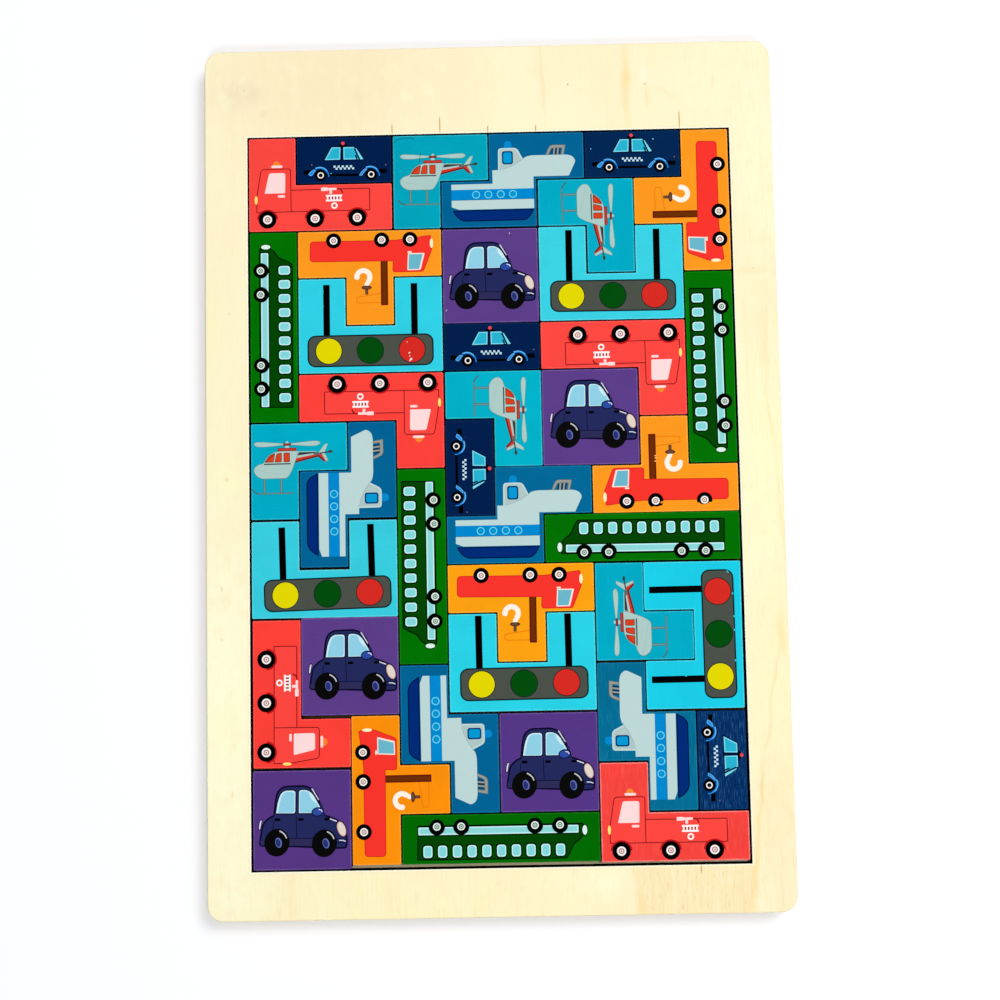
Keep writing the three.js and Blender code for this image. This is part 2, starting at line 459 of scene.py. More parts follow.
def draw_helicopter(pic):
    for x in (0.367, 0.707):
        pic.panel(x - 0.026, 1.17, x + 0.026, 1.48, "strut_grey", 0.0, "strut_edge", 0.012)
    pic.panel(0.222, 1.468, 0.960, 1.504, "strut_grey", 0.014, "strut_edge", 0.010)
    pic.stroke([(0.108, 1.386), (0.146, 1.438), (0.190, 1.470), (0.240, 1.488)], 0.030, "strut_edge")
    pic.patch([(1.00, 0.63), (1.44, 0.638), (1.47, 0.70), (0.99, 0.86)], "pale_body")
    pic.patch([(1.052, 0.715), (1.076, 0.648, 0.02), (1.470, 0.650), (1.340, 0.682)], "boom_grey")
    pic.patch([(0.985, 0.862), (1.012, 0.772), (1.50, 0.684), (1.46, 0.740)], "helicopter_red")
    pic.bar((0.988, 0.852), (1.470, 0.734), 0.030, "red_line")
    pic.patch([(1.445, 0.70), (1.53, 0.688), (1.675, 0.848, 0.02), (1.606, 0.850, 0.02)], "helicopter_red")
    pic.bar((1.460, 0.718), (1.604, 0.846), 0.030, "red_line")
    tail = [(1.475, 0.665), (1.610, 0.486, 0.03), (1.688, 0.474, 0.03), (1.612, 0.665),
            (1.688, 0.838, 0.02), (1.630, 0.848, 0.02), (1.545, 0.70)]
    pic.patch(tail, "pale_body", "body_line", 0.008)
    pic.bar((1.50, 0.682), (1.72, 0.652), 0.026, "boom_grey")
    pic.disc(1.432, 0.685, 0.060, "tail_grey", 0.036, -8)
    pic.disc(1.722, 0.650, 0.048, "boom_grey", 0.028)
    body = [(0.140, 1.04, 0.05), (0.152, 0.945, 0.06), (0.255, 0.872, 0.06), (0.345, 0.862, 0.03),
            (0.415, 0.735, 0.06), (0.545, 0.632, 0.10), (0.72, 0.612), (1.06, 0.612, 0.02),
            (1.055, 0.70, 0.03), (0.925, 1.06, 0.10), (0.83, 1.185, 0.10), (0.25, 1.185, 0.10)]
    pic.patch(body, "pale_body", "body_line", 0.008)
    windows = [
        [(0.368, 0.846, 0.02), (0.468, 0.700, 0.05), (0.590, 0.652, 0.02), (0.556, 0.846, 0.02)],
        [(0.574, 0.846, 0.02), (0.622, 0.664, 0.03), (0.726, 0.650, 0.02), (0.722, 0.846, 0.02)],
        [(0.764, 0.846, 0.02), (0.764, 0.652, 0.02), (0.892, 0.652, 0.02), (0.892, 0.846, 0.02)],
    ]
    for window in windows:
        pic.patch(window, "glass_red", "glass_line", 0.014)
    pic.panel(0.358, 0.868, 0.908, 0.894, "belt_grey", 0.008)
    pic.panel(0.638, 0.554, 1.030, 0.618, "helicopter_red", 0.016, "red_line", 0.014)
    pic.panel(0.800, 0.490, 0.876, 0.556, "pale_body")
    blade = [(0.140, 0.466, 0.03), (0.185, 0.416, 0.05), (0.33, 0.416, 0.05), (0.79, 0.457),
             (0.79, 0.495), (0.38, 0.532, 0.08), (0.20, 0.524, 0.05)]
    middle = 0.838
    mirrored_blade = [(2 * middle - corner[0], *corner[1:]) for corner in reversed(blade)]
    for shape in (blade, mirrored_blade):
        pic.patch(shape, "pale_body", "body_line", 0.008)
    pic.panel(0.758, 0.456, 0.920, 0.508, "hub_red", 0.018, "red_line", 0.014)
    pic.half_disc(middle, 0.460, 0.032, "pale_body", 0.044)


def draw_ship(pic):
    hull = [(0.205, 1.640), (1.908, 1.640), (1.830, 1.790, 0.03), (1.735, 1.880, 0.06),
            (0.440, 1.880, 0.06), (0.335, 1.826, 0.03), (0.258, 1.740, 0.03)]
    pic.patch(hull, "hull_navy", "hull_line", 0.022)
    pic.patch([(0.190, 1.430), (1.905, 1.430), (1.905, 1.628), (0.345, 1.628), (0.190, 1.570)], "ship_pale")
    pic.panel(1.302, 0.188, 1.462, 0.380, "dome_blue", 0.078)
    pic.patch([(1.172, 0.830), (1.178, 0.340, 0.06), (1.570, 0.336, 0.07), (1.700, 0.590), (1.620, 0.830)],
              "cabin_grey", "cabin_edge", 0.028)
    pic.framed_panel(1.258, 0.404, 1.486, 0.686, 0.05, ("window_frame", "pane_blue"), (0.0, 0.028))
    step_and_roof = [(1.050, 0.805), (1.200, 0.802), (1.380, 0.758), (1.550, 0.678), (1.680, 0.588),
                     (1.750, 0.535)]
    pic.patch([(0.190, 1.205), (0.190, 1.090), (1.050, 1.090), *step_and_roof, (1.850, 0.506, 0.06),
               (2.600, 0.506, 0.05), (2.700, 0.530, 0.04), (2.760, 0.582, 0.04), (2.786, 0.650, 0.05),
               (2.642, 0.955), (1.905, 0.955), (1.905, 1.205)], "ship_pale")
    pic.stroke(step_and_roof[1:], 0.012, "deck_line")
    pic.panel(0.190, 1.205, 1.905, 1.418, "stripe_blue")
    for x in (0.702, 0.957, 1.215, 1.470):
        pic.disc(x, 1.316, 0.058, "porthole_shade")
        pic.disc(x, 1.316, 0.026, "porthole_glass", steps=18)
        pic.arc(x, 1.316, 0.082, 0.062, 0, 360, "porthole", 26)
    slats = (
        (2.286, 0.040, "rail_dark"), (2.320, 0.034, "rail_grey"), (2.354, 0.048, "rail_dark"),
        (2.398, 0.036, "rail_grey"), (2.432, 0.030, "rail_dark"),
    )
    for x, wide, ink in slats:
        pic.patch([(x, 0.506), (x + 0.018, 0.356), (x + 0.018 + wide, 0.356), (x + wide, 0.506)], ink)
    rail = [(2.164, 0.506), (2.220, 0.370, 0.03), (2.262, 0.306, 0.03), (2.330, 0.290, 0.03),
            (2.588, 0.296, 0.02), (2.548, 0.506), (2.486, 0.506), (2.510, 0.364, 0.02),
            (2.296, 0.366, 0.03), (2.228, 0.506)]
    pic.patch(rail, "rail_grey", "rail_line", 0.012)


def draw_crane_truck(pic):
    jib = [(1.280, 0.458), (1.745, 0.458), (1.795, 0.482), (1.786, 0.580), (1.280, 0.655)]
    pic.stroke(jib, 0.018, "jib_line")
    pic.panel(1.142, 0.402, 1.290, 1.345, "mast_line", 0.012)
    pic.panel(1.172, 0.432, 1.260, 1.345, "mast_brown", 0.012)
    pic.panel(1.553, 0.632, 1.614, 0.752, "fitting_brown", 0.012, "fitting_line", 0.011)
    pic.disc(1.584, 0.780, 0.104, "fitting_line", 0.044)
    pic.disc(1.584, 0.778, 0.082, "fitting_brown", 0.026)
    pic.patch([(1.540, 0.820), (1.632, 0.820), (1.608, 0.905), (1.500, 0.905)], "hook_cream")
    pic.arc(1.650, 1.002, 0.188, 0.084, 128, 244, "hook_cream", 30)
    pic.disc(1.782, 0.998, 0.053, "hook_cream", steps=16)
    body = [(0.240, 1.862, 0.03), (0.212, 1.560, 0.05), (0.400, 1.090, 0.05), (1.045, 1.090, 0.06),
            (1.035, 1.325), (2.762, 1.338, 0.08), (2.752, 1.772, 0.07), (0.98, 1.772)]
    pic.patch(body, "truck_red", "truck_line", 0.014)
    pic.patch([(0.370, 1.485, 0.015), (0.460, 1.130, 0.02), (0.738, 1.125, 0.02), (0.718, 1.485, 0.015)],
              "frame_cream")
    pic.patch([(0.412, 1.462), (0.492, 1.150), (0.712, 1.148), (0.698, 1.462)], "glass_blue")
    pic.panel(0.638, 1.492, 0.728, 1.528, "frame_cream", 0.015)
    pic.disc(0.228, 1.686, 0.034, "headlight", 0.098)
    for x in (0.672, 1.262, 2.260):
        pic.wheel(x, 1.778, 0.158, 0.080, "ring_grey", "bolt_orange")


def draw_bus(pic):
    body = [(0.340, 0.815, 0.03), (0.318, 0.620, 0.05), (0.395, 0.490, 0.06), (0.540, 0.395, 0.06),
            (0.602, 0.240, 0.05), (0.680, 0.112, 0.03), (3.692, 0.120, 0.025), (3.680, 0.815, 0.025)]
    pic.patch(body, "bus_dark", "bus_line", 0.024)
    stripe_inks = ("bus_line", "pane_rim", "stripe_pale")
    pic.framed_panel(0.420, 0.600, 3.684, 0.798, 0.03, stripe_inks, (0.0, 0.022, 0.046))
    for number in range(10):
        left = 0.695 + number * 0.2962
        pane_inks = ("bus_line", "pane_rim", "pane_pale")
        pic.framed_panel(left, 0.148, left + 0.230, 0.434, 0.066, pane_inks, (0.0, 0.024, 0.046))
    for x in (0.812, 1.315, 2.798, 3.288):
        pic.half_disc(x, 0.790, 0.166, "bus_line", 0.176)
        pic.wheel(x, 0.785, 0.148, 0.078, "ring_green", "ring_green", "hub_mint")
    pic.disc(0.315, 0.672, 0.064, "bus_line", 0.114)
    pic.disc(0.315, 0.672, 0.048, "lamp_white", 0.096)


def draw_car(pic):
    line, line_width = "car_line", 0.034
    roof = [(0.455, 0.90), (0.500, 0.480, 0.08), (0.575, 0.245, 0.16), (1.195, 0.232, 0.14),
            (1.350, 0.400, 0.06), (1.535, 0.90)]
    pic.patch(roof, "car_navy", line, line_width)
    body = [(0.165, 1.440, 0.06), (0.195, 1.230, 0.05), (0.240, 0.985, 0.08), (0.430, 0.815, 0.10),
            (1.510, 0.822, 0.08), (1.775, 0.925, 0.08), (1.925, 1.060, 0.10), (1.968, 1.320, 0.05),
            (1.950, 1.505, 0.06), (1.690, 1.510), (0.900, 1.470), (0.300, 1.455)]
    pic.patch(body, "car_navy", line, line_width)
    pic.patch([(0.482, 0.86), (0.522, 0.62), (1.455, 0.62), (1.502, 0.86)], "car_navy")
    pic.panel(0.60, 1.290, 1.410, 1.442, "car_sill", 0.03)
    pic.panel(0.196, 1.315, 0.42, 1.422, "car_sill", 0.04)
    pic.bar((0.60, 1.290), (1.41, 1.296), 0.014, line)
    pic.bar((0.925, 0.86), (0.935, 1.28), 0.014, line)
    pic.bar((0.470, 0.95), (0.455, 1.12), 0.012, line)
    rear_window = [(0.494, 0.812, 0.03), (0.545, 0.500, 0.10), (0.640, 0.320, 0.10), (0.932, 0.320, 0.07),
                   (0.926, 0.815, 0.06)]
    pic.patch(rear_window, "glint_soft", line, 0.022)
    pic.patch([(0.552, 0.782, 0.03), (0.608, 0.510, 0.08), (0.672, 0.366, 0.08), (0.894, 0.366, 0.05),
               (0.886, 0.780, 0.04)], "glass_sky")
    front_window = [(0.958, 0.812, 0.03), (0.962, 0.312, 0.07), (1.180, 0.310, 0.09), (1.292, 0.425, 0.05),
                    (1.445, 0.700), (1.305, 0.812)]
    pic.patch(front_window, "glint_soft", line, 0.022)
    pic.patch([(0.996, 0.780, 0.02), (0.998, 0.356, 0.05), (1.160, 0.352, 0.06), (1.262, 0.450, 0.04),
               (1.386, 0.690), (1.290, 0.780)], "glass_sky")
    pic.patch([(1.176, 0.362, 0.02), (1.272, 0.440, 0.03), (1.350, 0.590, 0.02), (1.296, 0.586, 0.03),
               (1.206, 0.480, 0.03)], "glint_soft")
    pic.patch([(1.228, 0.300, 0.01), (1.258, 0.308, 0.01), (1.388, 0.530), (1.370, 0.530)], "shine")
    pic.disc(1.360, 0.768, 0.128, line, 0.092, 8)
    pic.disc(1.360, 0.771, 0.106, "mirror_blue", 0.072, 8)
    pic.stroke([(1.376, 0.722), (1.432, 0.734), (1.452, 0.772)], 0.018, "shine")
    for x in (0.545, 1.020, 1.550):
        pic.panel(x - 0.058, 0.892, x + 0.058, 0.942, "black", 0.022)
    pic.patch([(1.606, 0.898, 0.01), (1.748, 0.952, 0.01), (1.742, 0.972, 0.01), (1.602, 0.918, 0.01)],
              "shine")
    pic.disc(1.838, 1.115, 0.104, line, 0.176, 20)
    pic.disc(1.838, 1.115, 0.086, "lamp_edge", 0.156, 20)
    pic.disc(1.840, 1.112, 0.072, "lamp_cream", 0.140, 20)
    pic.patch([(0.196, 0.915, 0.01), (0.246, 0.910, 0.01), (0.206, 1.125, 0.01), (0.160, 1.120, 0.01),
               (0.168, 1.00, 0.03)], line)
    pic.patch([(0.206, 0.932, 0.01), (0.230, 0.926, 0.01), (0.196, 1.108, 0.01), (0.176, 1.106, 0.01),
               (0.184, 1.00, 0.03)], "shine")
    pic.patch([(1.705, 1.300, 0.04), (1.950, 1.310, 0.04), (1.945, 1.400, 0.04), (1.705, 1.390, 0.02)],
              "car_navy", line, 0.014)
    pic.stroke([(1.790, 1.338), (1.868, 1.340), (1.922, 1.364)], 0.018, "shine")
    for x, y in ((0.537, 1.372), (1.493, 1.394)):
        pic.disc(x, y, 0.252, "tyre_black", 0.276, -14, steps=40)
        pic.arc(x - 0.006, y - 0.004, 0.224, 0.200, 20, 54, "tyre_shine", 16, 1.10)
        pic.disc(x + 0.032, y + 0.002, 0.066, "hub_glint", 0.100, 12)
        pic.disc(x + 0.024, y + 0.006, 0.048, "hub_blue", 0.080, 12)


def draw_traffic_light(pic):
    for x in (0.620, 2.436):
        pic.panel(x - 0.068, 0.098, x + 0.068, 1.180, "black")
    pic.panel(0.218, 1.156, 2.824, 1.820, "housing_grey", 0.17, "housing_line", 0.028)
    for x, size, ink in ((0.658, 0.263, "signal_yellow"), (1.516, 0.266, "signal_green"),
                         (2.378, 0.263, "signal_red")):
        pic.disc(x, 1.487, size + 0.016, "housing_line", steps=48)
        pic.disc(x, 1.487, size, ink, steps=48)


DRAWINGS = {
    "fire_truck": draw_fire_truck,
    "police_car": draw_police_car,
    "helicopter": draw_helicopter,
    "ship": draw_ship,
    "crane_truck": draw_crane_truck,
    "bus": draw_bus,
    "car": draw_car,
    "traffic_light": draw_traffic_light,
}

# Damage on single blocks: scratches as bent lines, and chips as small discs


def scratch_helicopter(pic):
    corner = [(0.03, 0.165), (0.10, 0.100), (0.20, 0.068), (0.36, 0.066), (0.46, 0.085)]
    pic.stroke(corner, 0.014, "scratch_teal")
    pic.stroke([(0.585, 0.37), (0.572, 0.46), (0.566, 0.56), (0.545, 0.62)], 0.012, "scratch_teal")


def chip_police_car(pic):
    for x, y, size in ((1.42, 0.20, 0.014), (0.12, 0.39, 0.012)):
        pic.disc(x, y, size, "glass_edge", steps=8)


def speck_police_car(pic):
    pic.disc(0.312, 0.562, 0.012, "speck_rose", 0.016, steps=8)
    pic.disc(0.715, 0.750, 0.012, "glass_edge", 0.009, steps=8)


def speck_car(pic):
    pic.disc(1.450, 0.070, 0.008, "dust", 0.024, 10, steps=8)
    pic.disc(0.108, 1.660, 0.010, "dust", 0.018, steps=8)


def chip_traffic_light(pic):
    chips = ((2.322, 1.554, 0.022), (2.326, 1.620, 0.015), (2.356, 1.686, 0.030), (2.332, 1.716, 0.020),
             (2.278, 1.326, 0.012))
    for x, y, size in chips:
        pic.disc(x, y, size, "chip_white", size * 0.8, 30, steps=9)
    for y in (0.235, 0.548):
        pic.disc(0.553, y, 0.012, "bare_cyan", steps=8)


def chip_turned_traffic_light(pic):
    for x, y in ((2.33, 1.792), (1.865, 1.806), (1.59, 1.804), (0.975, 1.802)):
        pic.disc(x, y, 0.024, "bare_cyan", 0.014, steps=8)
    pic.disc(2.772, 1.708, 0.032, "bare_cyan", 0.014, 45, steps=8)
    pic.disc(0.684, 0.790, 0.014, "bare_cyan", 0.022, steps=8)


def chip_crane_truck(pic):
    for x, y in ((1.276, 0.855), (1.282, 0.900), (1.274, 0.965)):
        pic.disc(x, y, 0.024, "bare_orange", 0.014, steps=8)
        pic.disc(x + 0.006, y - 0.004, 0.012, "frame_cream", 0.008, steps=8)
    pic.disc(1.388, 1.812, 0.034, "bare_orange", 0.020, 30, steps=9)
    pic.patch([(1.16, 1.905), (1.22, 1.892), (1.29, 1.900), (1.34, 1.884), (1.40, 1.872), (1.40, 1.95),
               (1.16, 1.95)], "bare_orange")
    pic.patch([(2.09, 1.828), (2.15, 1.834), (2.19, 1.866), (2.26, 1.872), (2.32, 1.852), (2.36, 1.826),
               (2.43, 1.822), (2.43, 1.95), (2.09, 1.95)], "bare_orange")


DAMAGE = {
    "helicopter_1": scratch_helicopter,
    "police_car_1": speck_police_car,
    "police_car_2": chip_police_car,
    "car_1": speck_car,
    "traffic_light_1": chip_traffic_light,
    "traffic_light_4": chip_turned_traffic_light,
    "crane_truck_3": chip_crane_truck,
}

# Materials


class Finish:
    """A material under construction: its Principled shader and short ways to add nodes."""

    def __init__(self, name, roughness, specular):
        self.material = bpy.data.materials.new(name)
        self.material.use_nodes = True
        self.nodes = self.material.node_tree.nodes
        self.links = self.material.node_tree.links
        self.shader = self.nodes["Principled BSDF"]
        self.shader.inputs["Roughness"].default_value = roughness
        self.shader.inputs["Specular IOR Level"].default_value = specular

    def add(self, kind, inputs=None, **settings):
        node = self.nodes.new(kind)
        for setting, value in settings.items():
            setattr(node, setting, value)
        for socket, value in (inputs or {}).items():
            if isinstance(value, bpy.types.NodeSocket):
                self.links.new(value, node.inputs[socket])
            else:
                node.inputs[socket].default_value = value
        return node

    def objects(self, scale):
        """Object coordinates in metres, times scale along each axis."""
        place = self.add("ShaderNodeTexCoord").outputs["Object"]
        return self.add("ShaderNodeMapping", {"Vector": place, "Scale": scale}).outputs["Vector"]

    def picture(self, scale):
        """Coordinates along the block's picture, in squares, times scale."""
        place = self.add("ShaderNodeUVMap", uv_map="picture").outputs["UV"]
        return self.add("ShaderNodeMapping", {"Vector": place, "Scale": scale}).outputs["Vector"]

    def attribute(self, name, output):
        return self.add("ShaderNodeAttribute", attribute_name=name).outputs[output]

    def noise(self, vector, detail=2.0, rough=0.5, output="Fac"):
        node = self.add("ShaderNodeTexNoise", {
            "Vector": vector, "Scale": 1.0, "Detail": detail, "Roughness": rough,
        })
        return node.outputs[output]

    def ramp(self, value, low, high, strength=1.0):
        """0 where value is at low and strength where it is at high, smooth between and kept inside."""
        node = self.add("ShaderNodeMapRange", {
            "Value": value, "From Min": low, "From Max": high, "To Min": 0.0, "To Max": strength,
        }, interpolation_type="SMOOTHSTEP", clamp=True)
        return node.outputs["Result"]

    def maths(self, operation, first, second=0.0):
        return self.add("ShaderNodeMath", {0: first, 1: second}, operation=operation).outputs[0]

    def mix(self, factor, first, second, blend="MIX"):
        node = self.add("ShaderNodeMix", data_type="RGBA", blend_type=blend)
        for name, value in (("Factor_Float", factor), ("A_Color", first), ("B_Color", second)):
            socket = next(s for s in node.inputs if s.identifier == name)
            if isinstance(value, bpy.types.NodeSocket):
                self.links.new(value, socket)
            elif name == "Factor_Float":
                socket.default_value = value
            else:
                socket.default_value = (*value, 1)
        return next(s for s in node.outputs if s.identifier == "Result_Color")

    def colour(self, socket):
        self.links.new(socket, self.shader.inputs["Base Color"])

    def rough(self, socket):
        self.links.new(socket, self.shader.inputs["Roughness"])

    def bump(self, height, strength, distance):
        node = self.add("ShaderNodeBump", {"Height": height, "Strength": strength, "Distance": distance})
        self.links.new(node.outputs["Normal"], self.shader.inputs["Normal"])

    def spot(self, place, middle, half_size, tilt, strength):
        """A soft spot: strength in its middle, falling to 0 at its rim."""
        own = self.add("ShaderNodeMapping", {
            "Vector": place, "Location": (*middle, 0), "Rotation": (0, 0, math.radians(tilt)),
            "Scale": (*half_size, 1),
        }, vector_type="TEXTURE").outputs["Vector"]
        away = self.add("ShaderNodeVectorMath", {0: own}, operation="LENGTH").outputs["Value"]
        return self.ramp(away, 1.0, 0.0, strength)


WOOD_CREAM = (253, 240, 199)
WOOD_PALE = (254, 247, 208)
WOOD_PEACH = (251, 233, 193)
WOOD_LIGHT = (255, 255, 219)
WOOD_IVORY = (254, 251, 212)
WOOD_YELLOW = (254, 251, 203)
WOOD_STRAW = (254, 246, 197)
WOOD_AMBER = (253, 231, 179)
WOOD_GRAIN = (243, 218, 168)
WOOD_WHITE = (255, 254, 230)
WOOD_HONEY = (250, 226, 163)
WOOD_LINE = (250, 226, 178)
WOOD_TAN = (236, 198, 138)
WOOD_STREAK = (182, 130, 80)
WOOD_SMUDGE = (228, 204, 184)
# darker honey for the painted shade on the tray's rounded outer edge
WOOD_EDGE_SHADE = (251, 231, 180)
WOOD_SPECK = (96, 84, 74)
PLY_LIGHT = (236, 212, 160)
PLY_DARK = (206, 170, 112)
PLY_GLUE = (150, 108, 62)
# Painted shade: the brown of the recess floor, which shows only in the gaps between blocks
RECESS_SHADE_BROWN = (112, 82, 52)
RECESS_SHADE_UMBER = (86, 60, 38)
# Cut sides of the blocks and recess walls: scorched laser-cut wood, darkened further as painted shade for
# the gaps
CUT_LIGHT = (36, 25, 15)
CUT_DARK = (12, 8, 5)

# Tones of the tray's face in mm: middle, half size, tilt to the left in degrees, colour, strength

FACE_TONES = [
    ((-50, 125), (80, 40), 0, WOOD_PEACH, 0.84),
    ((30, 128), (40, 30), 0, WOOD_PEACH, 0.25),
    ((68, 120), (34, 34), 0, WOOD_PALE, 0.90),
    ((-84, 78), (18, 60), 0, WOOD_PEACH, 0.28),
    ((-87, 46), (3.4, 20), 0, WOOD_STRAW, 0.90),
    ((-84, -70), (24, 104), 0, WOOD_LIGHT, 1.00),
    ((84, 90), (15, 50), 0, WOOD_IVORY, 0.85),
    ((83, 2), (14, 66), 0, WOOD_YELLOW, 0.85),
    ((84, -66), (18, 44), 0, WOOD_STRAW, 1.00),
    ((84, -108), (20, 40), 0, WOOD_AMBER, 0.55),
    ((-22, -128), (80, 22), 0, WOOD_STRAW, 1.00),
    ((-78, -125), (18, 18), 0, WOOD_LIGHT, 0.60),
    ((31, -125), (9, 9), 0, WOOD_LIGHT, 0.70),
    ((-82, -1), (9, 9), 0, WOOD_YELLOW, 0.70),
    ((-82, -16), (8, 9), 0, WOOD_CREAM, 0.50),
    ((-83, -76), (9, 13), 0, WOOD_YELLOW, 0.60),
    ((-64, -125), (5, 20), 0, WOOD_AMBER, 0.40),
    ((-34, -127), (3, 12), 0, WOOD_AMBER, 0.35),
    ((4, -126), (4, 14), 0, WOOD_AMBER, 0.35),
]

# Smudges, lines and specks on it, written in the same way

FACE_MARKS = [
    ((-78.5, 120.0), (13.0, 7.5), 0, WOOD_SMUDGE, 0.24),
    ((-81.5, 119.0), (3.6, 2.8), 20, WOOD_SMUDGE, 0.20),
    ((-77.0, 121.6), (3.0, 3.8), -10, WOOD_SMUDGE, 0.22),
    ((-73.0, 120.6), (3.0, 3.6), 30, WOOD_SMUDGE, 0.16),
    ((-70.6, 113.8), (1.6, 2.6), -30, WOOD_SMUDGE, 0.24),
    ((-40.0, 118.8), (3.0, 2.6), 0, WOOD_SMUDGE, 0.17),
    ((-78.3, 122.3), (0.5, 1.6), 0, WOOD_TAN, 0.60),
    ((-76.2, 121.8), (0.7, 0.8), 0, WOOD_TAN, 0.50),
    ((17.3, 124.0), (0.8, 30.0), 3, WOOD_LINE, 0.66),
    ((25.5, 121.8), (0.5, 0.5), 0, WOOD_SPECK, 0.75),
    ((43.6, 122.0), (2.2, 26.0), 0, WOOD_HONEY, 0.66),
    ((43.4, 123.6), (2.0, 8.0), 0, WOOD_HONEY, 0.75),
    ((49.1, 124.4), (2.4, 4.6), 0, WOOD_WHITE, 0.50),
    ((49.3, 121.6), (0.8, 0.6), 0, WOOD_STREAK, 0.42),
    ((49.9, 117.7), (1.0, 7.0), 2, WOOD_HONEY, 0.60),
    ((56.0, 118.6), (6.0, 1.4), -24, WOOD_LINE, 0.36),
    ((70.7, 122.1), (0.7, 4.5), 0, WOOD_LINE, 0.55),
    ((80.5, 61.2), (10.0, 2.2), 3, WOOD_LINE, 0.50),
    ((81.9, 62.0), (0.45, 0.45), 0, WOOD_STREAK, 0.50),
    ((85.0, 40.0), (1.0, 22.0), -3, WOOD_HONEY, 0.40),
    ((85.4, 15.0), (0.8, 13.0), 7, WOOD_HONEY, 0.46),
    ((87.7, -14.0), (1.0, 26.0), 3, WOOD_HONEY, 0.50),
    ((86.4, -51.0), (2.4, 11.0), -2, WOOD_HONEY, 0.66),
    ((84.0, -64.0), (0.8, 16.0), -9, WOOD_LINE, 0.75),
    ((81.4, -82.0), (0.9, 17.0), -8, WOOD_LINE, 0.66),
    ((79.0, -98.0), (0.7, 8.0), -8, WOOD_TAN, 0.66),
    ((78.0, -106.0), (1.2, 20.0), -6, WOOD_HONEY, 0.70),
    ((75.9, -125.0), (1.6, 17.0), -6, WOOD_HONEY, 0.90),
    ((42.0, -131.0), (1.9, 6.0), 6, WOOD_HONEY, 0.95),
    ((39.6, -121.0), (0.7, 7.0), 6, WOOD_LINE, 0.70),
    ((-82.6, -0.9), (1.0, 1.1), 0, WOOD_TAN, 0.50),
    ((-84.0, -34.7), (0.6, 1.6), 0, WOOD_TAN, 0.60),
    ((-84.0, -49.9), (0.8, 0.9), 0, WOOD_TAN, 0.45),
    ((-81.2, -96.7), (0.6, 2.2), 0, WOOD_TAN, 0.60),
    ((-81.4, 50.5), (0.8, 0.8), 0, WOOD_TAN, 0.40),
]

# Brown stain along the slits that the cutter left at the recess's edge: across, from and to

SLIT_STAINS = [
    (-30, 106.7, 110.2), (-15, 106.7, 112.2), (0, 106.7, 109.2), (15, 106.7, 109.0), (60, 106.7, 112.6),
    (60, -119.9, -122.6),
]

RECESS_MIDDLE = (0, -6.6)  # millimetres
RECESS_HALF = (75.45, 113.325)
COARSE_FROM = ((39.4, 40.8), (-104.0, -116.0))  # where the coarser veneer starts, across and down
COARSE_TO = (78.0, 74.5)
RIGHT_SIDE = (72.0, 80.0)
LOWER_END = (-112.0, -122.0)
SHADE_END = (-116.4, -117.4)  # where the painted shade of the recess floor turns to pale wood, downwards
